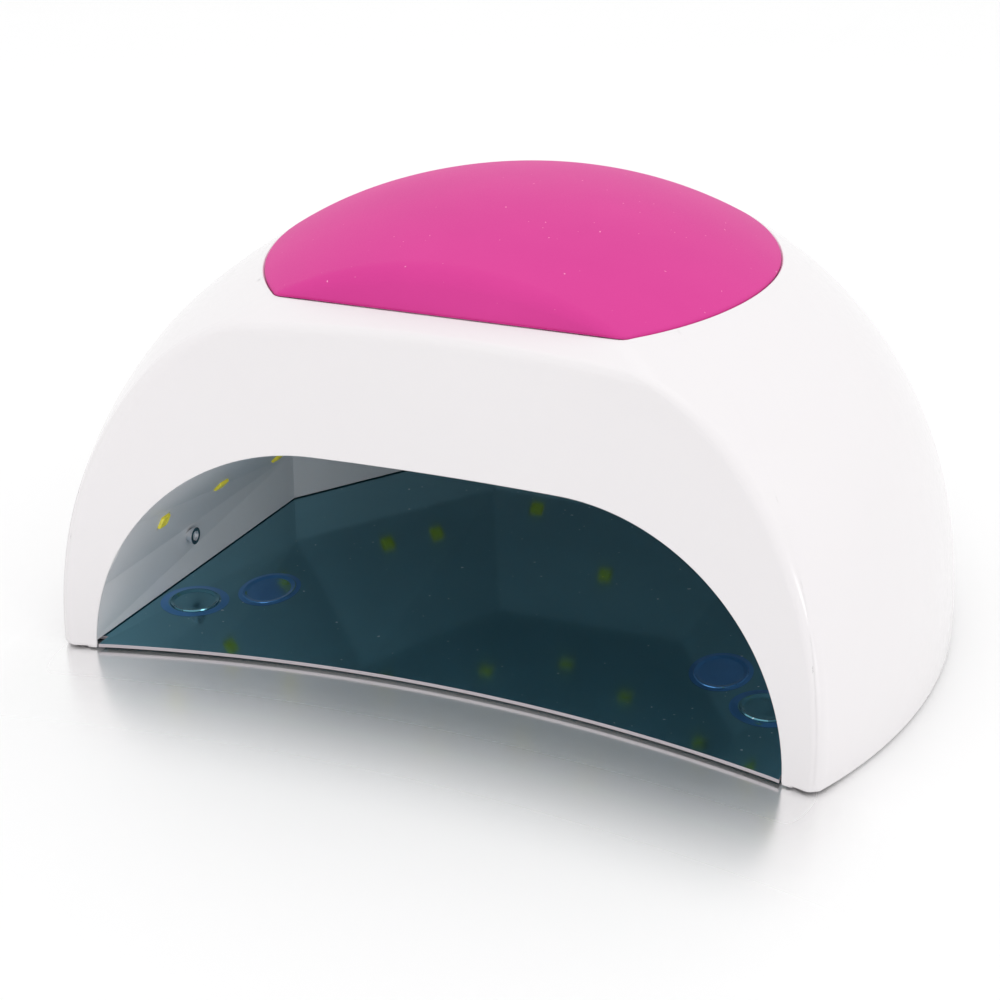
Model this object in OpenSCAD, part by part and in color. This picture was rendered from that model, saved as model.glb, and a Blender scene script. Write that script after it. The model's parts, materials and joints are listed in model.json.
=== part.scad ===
/* [Dome] */
// Width of the lamp over the widest part of the dome
body_w = 220; // [200:1:240]
// Half depth of the full oval that the front face cuts
oval_half_d = 129; // [115:1:140]
// Height of the lamp at the crown
body_h = 110.8; // [100:0.2:120]
// Distance from the frame's origin forward to the oval's centre
oval_forward = 31.4; // [28:0.1:35]
// Height at which the dome is widest
waist_z = 2.7; // [1:0.1:8]
// Wall thickness of the shell
shell_t = 2.6; // [2:0.1:3.2]

/* [Front face] */
// Distance from the origin forward to the middle of the front face at the bottom
front_y = 87.4; // [86.4:0.1:90]
// Backward lean of the front face in degrees
front_lean = 2.75; // [1.5:0.25:3.5]
// Radius of the hollow of the front face
front_r = 450; // [380:5:600]
// Thickness of the front wall round the opening
front_t = 3; // [2.4:0.1:4]
// Radius of the two arcs of the opening
arch_r = 56; // [52:0.5:58]
// Half distance between the centres of the two arcs
arch_c = 30.5; // [28:0.5:34]
// Height of the edge where the front face turns back to the top ledge
ledge_z = 87.8; // [85:0.1:89.5]

/* [Silicone pad] */
// Height of the pad's rim beside the oval's centre
pad_rim_z = 92.3; // [91.5:0.1:95]
// Forward tilt of the pad's rim in degrees
pad_rim_tilt = 1.25; // [0:0.25:2]
// Distance from the origin forward to the pad's straight front edge
pad_front_y = 78.1; // [76:0.1:79.5]
// Thickness of the pad
pad_t = 3; // [2:0.1:4]

/* [Tray] */
// Thickness of the steel base plate
plate_t = 0.9; // [0.8:0.1:1.2]
// Height of the rubber feet under the plate
foot_h = 0.7; // [0.5:0.1:1]
// Radius of the round dishes in the plate
dish_r = 9; // [7:0.5:10]

/* [Reflector] */
// Thickness of the reflector
liner_t = 1.4; // [1.2:0.1:1.6]
// Side of an LED package
led_w = 3.6; // [3:0.1:4]

/* [Controls] */
// Diameter of a timer button
button_d = 8; // [7:0.5:9]
// Travel of a timer button
button_travel = 0.8; // [0.5:0.1:1]
// Distance between neighbouring timer buttons
button_pitch = 12; // [11:0.5:13]
// Upward tilt of the flat rear facet in degrees
facet_tilt = 42; // [38:1:46]
// Distance from the origin back to the middle of the flat rear facet
facet_y = 67.1; // [66:0.1:68]
// Height of the middle of the flat rear facet
facet_z = 64.6; // [63.6:0.1:65.6]

/* [Power inlet] */
// Bore of the power inlet
inlet_d = 6.4; // [6:0.1:7]
// Height of the power inlet
inlet_z = 16; // [14:0.5:22]

/* [Hidden] */

half_w = body_w / 2;
rim_z = 0.4;
plate_top = foot_h + plate_t;
frame_z = plate_top + 0.1;
frame_t = 2.4;
big = 400;
fine = 96;

// ---- Dome -------------------------------------------------------------

// Exponents of the dome's side profile, close to an ellipse
profile_n = 2.11;
profile_m = 2.07;
// How much lower the shell's inside is at the crown, where it carries the pad
crown_t = pad_t + shell_t;

// Part of the full width that the dome has at height z, for a crown at h
function waist_share(z, h) =
    z <= waist_z ? 1 : pow(1 - pow((z - waist_z) / (h - waist_z), profile_n), 1 / profile_m);

// How far the front shoulders of the dome draw in, as a part of its radius
shoulder_cut = 0.136;
// Heights between which they draw in
shoulder_from = 70;
shoulder_to = 91;
// Sine of the plan angle at which the draw begins, and how softly it begins
shoulder_reach = 0.169;
shoulder_soft = 0.15;

// Part of the radius that the front shoulders leave at plan angle a and height z
function shoulder(a, z) =
    let (rise = max(0, min(1, (z - shoulder_from) / (shoulder_to - shoulder_from))),
         s = shoulder_reach - sin(a))
    1 - shoulder_cut * pow(rise, 3) * (s + sqrt(s * s + shoulder_soft * shoulder_soft)) / 2;

// Height of ring i, with the rings closer together near the crown
function ring_z(i, rings, h) = waist_z + (h - waist_z) * sin(90 * i / rings);

// A closed dome, inset from the outer surface by one distance at the side and another at the crown
module dome(side = 0, top = 0, floor_z = rim_z, sectors = 72, rings = 18) {
    h = body_h - top;
    levels = concat([floor_z], [for (i = [0 : rings - 1]) ring_z(i, rings, h)]);
    last = len(levels) - 1;
    points = concat(
        [for (z = levels, s = [0 : sectors - 1])
            let (a = 360 * s / sectors, share = waist_share(z, h) * shoulder(a, z))
            [(half_w - side) * share * cos(a),
             (oval_half_d - side) * share * sin(a) - oval_forward,
             z]],
        [[0, -oval_forward, h]]);
    floor_face = [[for (s = [0 : sectors - 1]) s]];
    sides = [for (l = [0 : last - 1], s = [0 : sectors - 1])
        let (n = (s + 1) % sectors)
        [l * sectors + s, (l + 1) * sectors + s, (l + 1) * sectors + n, l * sectors + n]];
    cap = [for (s = [0 : sectors - 1])
        [last * sectors + s, len(points) - 1, last * sectors + (s + 1) % sectors]];
    polyhedron(points = points, faces = concat(floor_face, sides, cap), convexity = 4);
}

// Outline of the dome at its waist, inset by the given distance
module oval(inset = 0, sectors = 96) {
    polygon([for (s = [0 : sectors - 1])
        let (a = 360 * s / sectors)
        [(half_w - inset) * cos(a), (oval_half_d - inset) * sin(a) - oval_forward]]);
}

// ---- Front face, ledge and pad recess ----------------------------------

// Everything in front of the hollow front face, moved back by the given distance
module front_space(back = 0) {
    translate([0, back - front_y, 0])
        rotate([-front_lean, 0, 0])
            translate([0, -front_r, -big / 2])
                cylinder(r = front_r, h = big, $fn = fine);
}

// Extrudes a side view, drawn as [y, z], over the lamp's width
module across_width() {
    rotate([90, 0, 90])
        translate([0, 0, -half_w])
            linear_extrude(body_w)
                children();
}

// Height of the plane of the pad's rim at y
function rim_plane(y) = pad_rim_z + (y + oval_forward) * tan(pad_rim_tilt);

// Where the front face turns into the ledge, in the middle of the lamp
ledge_y = ledge_z * tan(front_lean) - front_y;
// How much the ledge rises for each millimetre towards the pad's straight front edge
ledge_rise = (rim_plane(-pad_front_y) - ledge_z) / (-pad_front_y - ledge_y);

// Everything above the ledge and in front of the pad, lowered and moved back by the given distances
module ledge_space(down = 0, back = 0) {
    near = -oval_half_d - oval_forward;
    far = back - pad_front_y;
    low = ledge_z - down;
    across_width()
        polygon([[near, low + (near - ledge_y) * ledge_rise], [far, low + (far - ledge_y) * ledge_rise],
                 [far, big], [near, big]]);
}

// The space of the pad outside the surface that carries it, grown downward by the given gap
module pad_space(gap = 0) {
    difference() {
        across_width()
            polygon([[-pad_front_y, rim_plane(-pad_front_y) - gap], [big, rim_plane(big) - gap],
                     [big, big], [-pad_front_y, big]]);
        intersection() {
            dome(side = pad_t, top = pad_t, sectors = 60, rings = 12);
            translate([-half_w, pad_t - pad_front_y, 0])
                cube([body_w, big, big]);
        }
    }
}

// ---- Rear facet ----------------------------------------------------------

// Puts its children on the flat facet at the back, with Z outward and Y up the slope
module on_rear_facet() {
    translate([0, facet_y, facet_z])
        rotate([90 - facet_tilt, 0, 180])
            children();
}

// How far the cutting solids on the facet reach
reach = 60;

// Everything above z = low, as far as the facet's cuts reach
module beyond(low) {
    translate([-reach, -reach, low])
        cube([2 * reach, 2 * reach, reach]);
}

// A flat plate with round corners, standing on z = 0
module round_plate(w, d, h, r) {
    linear_extrude(h)
        rounded_outline(w, d, r);
}
module rounded_outline(w, d, r) {
    square([w - 2 * r, d], center = true);
    square([w, d - 2 * r], center = true);
    for (x = [-1, 1], y = [-1, 1])
        translate([x * (w / 2 - r), y * (d / 2 - r)])
            circle(r = r, $fn = fine);
}

panel_w = 52;
panel_d = 36;
panel_r = 8;
panel_t = 2;
panel_proud = 0.2;
panel_gap = 0.15;
// Width of the ledge in the shell that the panel rests on
panel_ledge = 3;
window_w = 26;
window_d = 12;
window_y = 7.5;
buttons_y = -8;

function button_x(i) = (i - 2.5) * button_pitch;

// ---- Posts, screws and magnets ---------------------------------------------

post_inset = 9;
post_r = 4;
post_top = 30;
screw_r = 1.3;
screw_head_r = 2.5;
screw_head_h = 1.3;
bore_top = 20;
post_angles = [-20, 6, 52, 128, 174, 200];
magnet_r = 5;
magnet_t = 2;
magnet_places = [[96, -50], [72, 38], [28, 69], [-28, 69], [-72, 38], [-96, -50]];

function post_place(a) =
    [(half_w - post_inset) * cos(a), (oval_half_d - post_inset) * sin(a) - oval_forward];

// ---- Reflector ----------------------------------------------------------------

// Thickness of the shell's lip in front of the reflector, and width of the step behind it
lip_t = 0.9;
rebate_w = 3.2;
// How far the reflector's front end lies outside the opening's edge
liner_clear = 0.8;
liner_z = plate_top + 0.3;
liner_front = -100;

// Distance back of the front face at x and z
function face_y(x, z) =
    z * tan(front_lean) - front_y + (sqrt(front_r * front_r - x * x) - front_r) / cos(front_lean);

// Corner on the line from an inner corner through the opening's arc at angle a, at liner_front
function front_corner(a, inner) =
    let (r = arch_r + liner_clear,
         x = arch_c + r * cos(a),
         z = r * sin(a),
         p = [x, face_y(x, z), z])
    inner + (p - inner) * (liner_front - inner[1]) / (p[1] - inner[1]);

// Corners of the reflector's inside on the +X side
low_side = [81.6, 2, liner_z];
low_rear = [42.5, 58.8, liner_z];
fold_side = [82, 3, 15.3];
fold_rear = [42.5, 59.3, 15.3];
top_side = [54.5, -11, 44.4];
top_rear = [28, 27.3, 39.1];
low_front = front_corner(asin(liner_z / (arch_r + liner_clear)), low_side);
fold_front = front_corner(17, fold_side);
arch_low = front_corner(36, fold_side);
arch_mid = front_corner(54, top_side);
arch_high = front_corner(71, top_side);
top_front = front_corner(88, top_side);
liner_corners = [low_front, low_side, low_rear, fold_front, fold_side, fold_rear,
                 arch_low, arch_mid, arch_high, top_front, top_side, top_rear];

function mirrored(p) = [-p[0], p[1], p[2]];
function unit(v) = v / norm(v);
// A corner moved outward by t: sideways, backward behind the opening, and upward above the floor
function moved_out(p, t) =
    [p[0] + t, p[1] > 0 ? p[1] + t : p[1], p[2] > liner_z ? p[2] + t : p[2]];

module liner_block(t) {
    hull()
        for (c = liner_corners, p = [moved_out(c, t)], q = [p, mirrored(p)])
            translate(q)
                cube(0.01, center = true);
}

// A point well inside the reflector
liner_heart = [0, -30, 20];
// Unit normal of the facet through three corners, turned towards the inside
function facet_normal(f) =
    let (n = unit(cross(f[1] - f[0], f[2] - f[0])))
    n * (liner_heart - f[0]) > 0 ? n : -n;
// Nearest point of the facet to p
function on_plane(p, f) = p - ((p - f[0]) * facet_normal(f)) * facet_normal(f);

side_low = [fold_front, arch_low, fold_side];
side_high = [arch_low, top_side, fold_side];
corner_facet = [fold_side, top_side, fold_rear];
rear_facet = [fold_rear, top_rear, mirrored(fold_rear)];
top_facet = [top_side, top_rear, mirrored(top_rear)];

// Each LED is [place, facet]; the side and corner lists are for the +X side
side_low_leds = [[[78.3, -72.4, 25.9], side_low]];
side_high_leds = [[[78.5, -45, 26], side_high], [[80, -12, 22.2], side_high], [[66, -36, 38], side_high]];
side_leds = concat(side_low_leds, side_high_leds);
corner_leds = [[[61.6, 21.9, 20.9], corner_facet], [[51.4, 35.1, 21.5], corner_facet]];
rear_leds = [[[27.1, 55.8, 17.9], rear_facet], [[0, 41, 29], rear_facet],
             [[-27.1, 55.8, 17.9], rear_facet]];
top_leds = [for (p = [[46.5, -15.3], [20.8, -1.2], [0, 8.4], [-20.8, -1.2], [-46.5, -15.3],
                      [22, -38], [0, -28], [-22, -38]])
    [[p[0], p[1], 44], top_facet]];

// Puts its children on an LED's place, Z towards the inside of the lamp
module on_led(led) {
    n = facet_normal(led[1]);
    x = unit(cross([0, 0, 1], n));
    y = cross(n, x);
    p = on_plane(led[0], led[1]);
    multmatrix([
        [x[0], y[0], n[0], p[0]],
        [x[1], y[1], n[1], p[1]],
        [x[2], y[2], n[2], p[2]],
        [0, 0, 0, 1]])
        children();
}

window_gap = 0.4;
board_t = 1.2;
// Distance of the boards behind the facets; the ceiling rises in front of its own facet
board_back = liner_t + 1.2;
top_board_back = liner_t + 2.4;
led_proud = 0.6;

module square_post(side, low, high) {
    translate([-side / 2, -side / 2, low])
        cube([side, side, high - low]);
}

module led_cluster(leds, back = board_back) {
    for (led = leds)
        on_led(led)
            square_post(led_w, -back, led_proud);
}

module led_windows(leds, back = board_back) {
    for (led = leds)
        on_led(led)
            square_post(led_w + 2 * window_gap, -back, back);
}

// A thin board behind a cluster of LEDs
module led_board(leds, back = board_back) {
    margin = 10;
    hull()
        for (led = leds)
            on_led(led)
                square_post(margin, -back - board_t, -back);
}

module both_sides() {
    children();
    mirror([1, 0, 0])
        children();
}

// ---- Hand sensor ------------------------------------------------------------

sensor_place = [83.1, -52.7, 13.3];
bezel_r = 2.3;
bezel_bore = 1.4;
sensor_r = 1.3;

// Puts its children at the sensor on the +X side, with Z pointing out through the wall
module on_sensor() {
    translate(sensor_place)
        rotate([0, 90, 0])
            children();
}

// ---- Shell and pad --------------------------------------------------------------

module opening(grow = 0) {
    back = 60;
    translate([0, -back, 0])
        rotate([90, 0, 0])
            linear_extrude(big) {
                for (x = [-arch_c, arch_c])
                    translate([x, 0])
                        circle(r = arch_r + grow, $fn = fine);
                translate([-arch_c, 0])
                    square([2 * arch_c, arch_r + grow]);
            }
}

// The step behind the opening's lip that takes the front end of the reflector
module rebate() {
    difference() {
        opening(rebate_w);
        front_space(lip_t);
    }
}

module shell_inside() {
    difference() {
        dome(side = shell_t, top = crown_t, floor_z = rim_z - 1, sectors = 60, rings = 12);
        front_space(front_t);
        ledge_space(shell_t, pad_t + shell_t);
        on_rear_facet()
            beyond(-panel_t - shell_t);
    }
}

module posts() {
    for (a = post_angles)
        translate([post_place(a)[0], post_place(a)[1], frame_z + frame_t])
            cylinder(r = post_r, h = post_top - frame_z - frame_t, $fn = fine);
}

module screw_bores(r, low, high) {
    for (a = post_angles)
        translate([post_place(a)[0], post_place(a)[1], low])
            cylinder(r = r, h = high - low, $fn = fine);
}

module outer_shell() {
    color("white")
        difference() {
            union() {
                difference() {
                    dome();
                    shell_inside();
                }
                posts();
            }
            front_space();
            ledge_space();
            pad_space(0.1);
            opening();
            rebate();
            on_rear_facet() {
                beyond(0);
                translate([0, 0, panel_proud - panel_t])
                    round_plate(panel_w + 2 * panel_gap, panel_d + 2 * panel_gap, reach, panel_r);
                translate([0, 0, -reach / 2])
                    round_plate(panel_w - 2 * panel_ledge, panel_d - 2 * panel_ledge, reach,
                                panel_r - panel_ledge);
            }
            screw_bores(screw_r, 0, bore_top);
            inlet_hole();
        }
}

module silicone_pad() {
    color("hotpink")
        difference() {
            intersection() {
                dome();
                pad_space();
            }
            front_space();
        }
}

// ---- Underside ------------------------------------------------------------------

module liner_outline(t) {
    polygon([for (p = [low_front, low_side, low_rear, mirrored(low_rear), mirrored(low_side),
                       mirrored(low_front)])
        [p[0] + sign(p[0]) * t, p[1] > 0 ? p[1] + t : p[1] - t]]);
}

module bottom_frame() {
    stand_r = 3;
    stand_h = inlet_z - jack_h / 2 - board_h - frame_z - frame_t;
    color("whitesmoke")
        difference() {
            union() {
                translate([0, 0, frame_z])
                    linear_extrude(frame_t)
                        difference() {
                            oval(shell_t + 0.4);
                            liner_outline(liner_t + 0.2);
                        }
                for (p = board_corners)
                    translate([p[0], p[1], frame_z + frame_t])
                        cylinder(r = stand_r, h = stand_h, $fn = fine);
            }
            front_space(front_t + 0.2);
            for (p = magnet_places)
                translate([p[0], p[1], frame_z - 1])
                    cylinder(r = magnet_r, h = magnet_t + 1, $fn = fine);
            screw_bores(screw_r + 0.3, 0, bore_top);
            screw_bores(screw_head_r + 0.2, 0, frame_z + 0.1 + screw_head_h);
            for (p = board_corners)
                translate([p[0], p[1], frame_z + 1])
                    cylinder(r = board_screw_r, h = bore_top, $fn = fine);
        }
}

module base_plate() {
    flange_gap = 1.5;
    color("lightsteelblue") {
        translate([0, 0, foot_h])
            linear_extrude(plate_t)
                difference() {
                    union() {
                        difference() {
                            oval(shell_t + flange_gap);
                            translate([0, -front_y + front_t + flange_gap - front_r])
                                circle(r = front_r, $fn = fine);
                        }
                        translate([-tray_half, -half_w])
                            square([2 * tray_half, tray_l]);
                    }
                    translate([0, -tray_front - tray_front_r])
                        circle(r = tray_front_r, $fn = fine);
                }
        both_sides() {
            translate([dish_place[0], dish_place[1], plate_top])
                linear_extrude(dish_h)
                    difference() {
                        circle(r = dish_r, $fn = fine);
                        circle(r = dish_r - dish_rim, $fn = fine);
                    }
            translate([oval_place[0], oval_place[1], plate_top])
                linear_extrude(dish_h)
                    difference() {
                        oval_dish(oval_r);
                        oval_dish(oval_r - dish_rim);
                    }
        }
    }
}
tray_half = 86;
tray_l = 60;
tray_front = 83.8;
tray_front_r = 322;
dish_place = [75.6, -66];
oval_place = [60.9, -52.8];
oval_r = 7.4;
oval_stretch = 3.6;
dish_h = 0.35;
dish_rim = 1;

module oval_dish(r) {
    for (y = [-oval_stretch, oval_stretch])
        translate([0, y])
            circle(r = r, $fn = fine);
    square([2 * r, 2 * oval_stretch], center = true);
}

foot_r = 6;
foot_places = [[70, -72], [90, -20], [45, 66]];

module plate_feet() {
    color("dimgray")
        both_sides()
            for (p = foot_places)
                translate([p[0], p[1], 0])
                    cylinder(r = foot_r, h = foot_h, $fn = fine);
}

module plate_magnets() {
    color("silver")
        for (p = magnet_places)
            translate([p[0], p[1], frame_z])
                cylinder(r = magnet_r, h = magnet_t, $fn = fine);
}

module shell_screws() {
    shell_screw_top = 14;
    color("gray") {
        screw_bores(screw_head_r, frame_z + 0.1, frame_z + 0.1 + screw_head_h);
        screw_bores(screw_r, frame_z + 0.1 + screw_head_h, shell_screw_top);
    }
}

// ---- Reflector, LEDs and sensor ---------------------------------------------------

module reflector_liner() {
    color("gainsboro")
        difference() {
            liner_block(liner_t);
            liner_block(0);
            translate([-big / 2, -big / 2, liner_z + 0.02 - big])
                cube(big);
            front_space(lip_t + 0.1);
            led_windows(rear_leds);
            led_windows(top_leds, top_board_back);
            both_sides() {
                led_windows(side_leds);
                led_windows(corner_leds);
                on_sensor()
                    cylinder(r = bezel_bore + 0.35, h = 10, center = true, $fn = fine);
            }
        }
}

module side_board() {
    led_board(side_low_leds);
    led_board(side_high_leds);
}

module led_board_right() { color("seagreen") side_board(); }
module led_board_left() { color("seagreen") mirror([1, 0, 0]) side_board(); }
module led_board_rear_right() { color("seagreen") led_board(corner_leds); }
module led_board_rear_left() { color("seagreen") mirror([1, 0, 0]) led_board(corner_leds); }
module led_board_rear() { color("seagreen") led_board(rear_leds); }
module led_board_top() { color("seagreen") led_board(top_leds, top_board_back); }

module led_emitters() {
    color("gold") {
        led_cluster(rear_leds);
        led_cluster(top_leds, top_board_back);
        both_sides() {
            led_cluster(side_leds);
            led_cluster(corner_leds);
        }
    }
}

module sensor_bezels() {
    color("silver")
        both_sides()
            on_sensor()
                difference() {
                    union() {
                        translate([0, 0, -1])
                            cylinder(r = bezel_r, h = 0.7, $fn = fine);
                        translate([0, 0, -1])
                            cylinder(r = bezel_bore + 0.3, h = 2.6, $fn = fine);
                    }
                    cylinder(r = bezel_bore, h = 10, center = true, $fn = fine);
                }
}

module sensor_diode() {
    on_sensor() {
        translate([0, 0, -0.5])
            cylinder(r = sensor_r, h = 4, $fn = fine);
        translate([0, 0, 3.5])
            cylinder(r = sensor_r + 0.5, h = 1, $fn = fine);
    }
}
module sensor_emitter() { color("lightblue") mirror([1, 0, 0]) sensor_diode(); }
module sensor_receiver() { color("black") sensor_diode(); }

// ---- Rear controls --------------------------------------------------------------------

button_proud = 1.2;
button_skirt = 0.8;
switch_h = 3.6;

// Distance of the switches' tops below the facet
switch_top = panel_t - panel_proud + button_skirt + button_travel + 0.1;
control_board_top = -switch_top - switch_h;

module control_panel() {
    color("dimgray")
        on_rear_facet()
            translate([0, 0, panel_proud - panel_t])
                difference() {
                    round_plate(panel_w, panel_d, panel_t, panel_r);
                    for (i = [1 : 4])
                        translate([button_x(i), buttons_y, -1])
                            cylinder(d = button_d + 0.6, h = panel_t + 2, $fn = fine);
                    translate([-window_w / 2, window_y - window_d / 2, -1])
                        cube([window_w, window_d, panel_t + 2]);
                }
}

module display_window() {
    color("black")
        on_rear_facet()
            translate([-window_w / 2 + 0.1, window_y - window_d / 2 + 0.1, panel_proud - 1.5])
                cube([window_w - 0.2, window_d - 0.2, 1.4]);
}

module display_module() {
    color("darkred")
        on_rear_facet()
            translate([-window_w / 2 + 1, window_y - window_d / 2 + 0.5, control_board_top])
                cube([window_w - 2, window_d - 1, -control_board_top - 1.5]);
}

module button(i) {
    skirt_top = panel_proud - panel_t - 0.02;
    color("white")
        on_rear_facet()
            translate([button_x(i), buttons_y, skirt_top - button_skirt]) {
                cylinder(d = button_d + 2, h = button_skirt, $fn = fine);
                cylinder(d = button_d, h = button_skirt + panel_t + button_proud, $fn = fine);
            }
}
module button_1() { button(1); }
module button_2() { button(2); }
module button_3() { button(3); }
module button_4() { button(4); }

module tact_switches() {
    color("black")
        on_rear_facet()
            for (i = [1 : 4])
                translate([button_x(i), buttons_y, control_board_top]) {
                    translate([-3, -3, 0])
                        cube([6, 6, switch_h - 0.8]);
                    cylinder(r = 1.7, h = switch_h, $fn = fine);
                }
}

module control_board() {
    color("seagreen")
        on_rear_facet()
            translate([-25, -14, control_board_top - board_h])
                cube([50, 30, board_h]);
}

panel_screw_x = 23;
panel_screw_y = 0.5;

module panel_screws() {
    color("gray")
        on_rear_facet()
            for (x = [-panel_screw_x, panel_screw_x])
                translate([x, panel_screw_y, control_board_top])
                    cylinder(r = 1.6, h = 1.2, $fn = fine);
}

// ---- Power ---------------------------------------------------------------------------------

jack_w = 9;
jack_l = 13;
jack_h = 11;
jack_face_y = 94.2;
jack_back_y = 79;
barrel_r = 4.2;
board_h = 1.6;
board_l = 70;
board_w = 20;
board_y = 64;
board_screw_r = 1;
board_corners = [[31, 67], [31, 81], [-31, 67], [-31, 81]];
board_z = inlet_z - jack_h / 2 - board_h;

module inlet_hole() {
    translate([0, jack_face_y, inlet_z])
        rotate([-90, 0, 0])
            cylinder(r = barrel_r + 1.4, h = 10, $fn = fine);
    translate([0, 80, inlet_z])
        rotate([-90, 0, 0])
            cylinder(r = barrel_r + 0.1, h = 20, $fn = fine);
}

module dc_jack() {
    color("black")
        difference() {
            union() {
                translate([-jack_w / 2, jack_back_y, inlet_z - jack_h / 2])
                    cube([jack_w, jack_l, jack_h]);
                translate([0, jack_back_y, inlet_z])
                    rotate([-90, 0, 0])
                        cylinder(r = barrel_r, h = jack_face_y - jack_back_y, $fn = fine);
            }
            translate([0, jack_face_y - 9.5, inlet_z])
                rotate([-90, 0, 0])
                    difference() {
                        cylinder(d = inlet_d, h = 20, $fn = fine);
                        cylinder(r = 1, h = 8.5, $fn = fine);
                    }
        }
}

module power_board() {
    color("seagreen")
        difference() {
            translate([-board_l / 2, board_y, board_z])
                cube([board_l, board_w, board_h]);
            for (p = board_corners)
                translate([p[0], p[1], board_z - 1])
                    cylinder(r = board_screw_r + 0.5, h = board_h + 2, $fn = fine);
        }
}

module power_board_parts() {
    top = board_z + board_h;
    color("slategray") {
        for (x = [-20, -10.5])
            translate([x, 76, top])
                cylinder(r = 4, h = 12, $fn = fine);
        translate([16, 75, top])
            difference() {
                cylinder(r = 6.5, h = 7, $fn = fine);
                translate([0, 0, -1])
                    cylinder(r = 2.5, h = 9, $fn = fine);
            }
        translate([-28, 65, top])
            cube([14, 5, 6]);
        translate([14, 65, top])
            cube([12, 4, 2]);
    }
}

module board_screws() {
    color("gray")
        for (p = board_corners)
            translate([p[0], p[1], board_z + board_h]) {
                cylinder(r = 2.3, h = 1.3, $fn = fine);
                translate([0, 0, -6])
                    cylinder(r = board_screw_r, h = 6, $fn = fine);
            }
}

// A flat cable from the control board down to the power board
module ribbon_cable() {
    color("lightgray")
        rotate([90, 0, 90])
            translate([0, 0, -6])
                linear_extrude(12)
                    polygon([[69.2, 46.6], [71.5, 30], [71.2, board_z + board_h],
                             [72, board_z + board_h], [72.3, 30], [70, 46.8]]);
}

// ---- Wiring -----------------------------------------------------------------------------------

harness_r = 1.6;
harness_sides = 8;
harness_route = [[-21, 67.5, 16.6], [-21, 67.5, 19], [-24, 66, 23], [-31, 65, 28], [-42, 58, 36],
                 [-54, 42, 44], [-66, 22, 47], [-74, 0, 46], [-79, -20, 42], [-82, -40, 36]];

function ring(p, dir) =
    let (side = unit(cross(dir, [1, 0, 0])), up = cross(side, dir))
    [for (s = [0 : harness_sides - 1])
        let (a = 360 * s / harness_sides)
        p + harness_r * (cos(a) * side + sin(a) * up)];

module swept(route) {
    last = len(route) - 1;
    n = harness_sides;
    rings = [for (i = [0 : last])
        ring(route[i], unit(route[min(i + 1, last)] - route[max(i - 1, 0)]))];
    points = [for (r = rings, p = r) p];
    walls = [for (i = [0 : last - 1], s = [0 : n - 1], k = [0, 1])
        let (a = i * n + s, b = i * n + (s + 1) % n)
        k == 0 ? [a, b, b + n] : [a, b + n, a + n]];
    start_cap = [[for (s = [n - 1 : -1 : 0]) s]];
    end_cap = [[for (s = [0 : n - 1]) last * n + s]];
    polyhedron(points = points, faces = concat(start_cap, walls, end_cap));
}

module wiring_harness() {
    color("red")
        swept(harness_route);
}

outer_shell();
silicone_pad();
reflector_liner();
bottom_frame();
base_plate();
plate_feet();
plate_magnets();
led_board_left();
led_board_right();
led_board_rear_left();
led_board_rear_right();
led_board_rear();
led_board_top();
led_emitters();
sensor_bezels();
sensor_emitter();
sensor_receiver();
control_panel();
display_window();
display_module();
button_1();
button_2();
button_3();
button_4();
tact_switches();
control_board();
power_board();
power_board_parts();
ribbon_cable();
dc_jack();
wiring_harness();
shell_screws();
board_screws();
panel_screws();
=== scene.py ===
"""The looks of a nail lamp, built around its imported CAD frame. Lengths are in metres."""
import json
import math

import bmesh
import bpy
import numpy as np
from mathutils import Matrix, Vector


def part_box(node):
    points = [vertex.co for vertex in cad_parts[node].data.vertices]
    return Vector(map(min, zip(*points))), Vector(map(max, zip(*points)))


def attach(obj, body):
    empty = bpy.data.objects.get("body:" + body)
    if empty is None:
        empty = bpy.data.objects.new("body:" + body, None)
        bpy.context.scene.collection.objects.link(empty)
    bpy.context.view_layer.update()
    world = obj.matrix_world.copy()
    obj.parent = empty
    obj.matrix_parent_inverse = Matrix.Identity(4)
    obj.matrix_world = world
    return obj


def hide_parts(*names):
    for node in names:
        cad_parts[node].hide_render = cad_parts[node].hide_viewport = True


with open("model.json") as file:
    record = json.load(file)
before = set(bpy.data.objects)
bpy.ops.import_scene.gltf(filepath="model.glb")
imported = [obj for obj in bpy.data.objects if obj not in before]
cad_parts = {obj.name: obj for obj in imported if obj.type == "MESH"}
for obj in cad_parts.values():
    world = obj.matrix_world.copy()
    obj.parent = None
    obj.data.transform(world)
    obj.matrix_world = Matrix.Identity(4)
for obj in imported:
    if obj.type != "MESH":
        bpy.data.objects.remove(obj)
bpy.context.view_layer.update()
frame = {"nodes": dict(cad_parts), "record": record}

MM = 0.001
HEAD = "head"
TRAY = "tray"

# ---- Measures -------------------------------------------------------------

shell_lo, shell_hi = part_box("outer_shell")
pad_lo, pad_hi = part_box("silicone_pad")
plate_lo, plate_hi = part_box("base_plate")

HALF_W = shell_hi.x
OVAL_D = 129 * MM
OVAL_Y = shell_hi.y - OVAL_D
CROWN_Z = pad_hi.z
RIM_Z = shell_lo.z
WAIST_Z = 2.7 * MM
PROFILE_N = 2.11
PROFILE_M = 2.07
SHELL_T = 2.6 * MM
PAD_T = 3 * MM

FRONT_Y = -87.4 * MM
FRONT_LEAN = math.radians(2.75)
FRONT_R = 450 * MM
FRONT_T = 3 * MM
ARCH_R = 56 * MM
ARCH_C = 30.5 * MM
LEDGE_Z = 87.8 * MM
LEDGE_Y = FRONT_Y + LEDGE_Z * math.tan(FRONT_LEAN)

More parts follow.
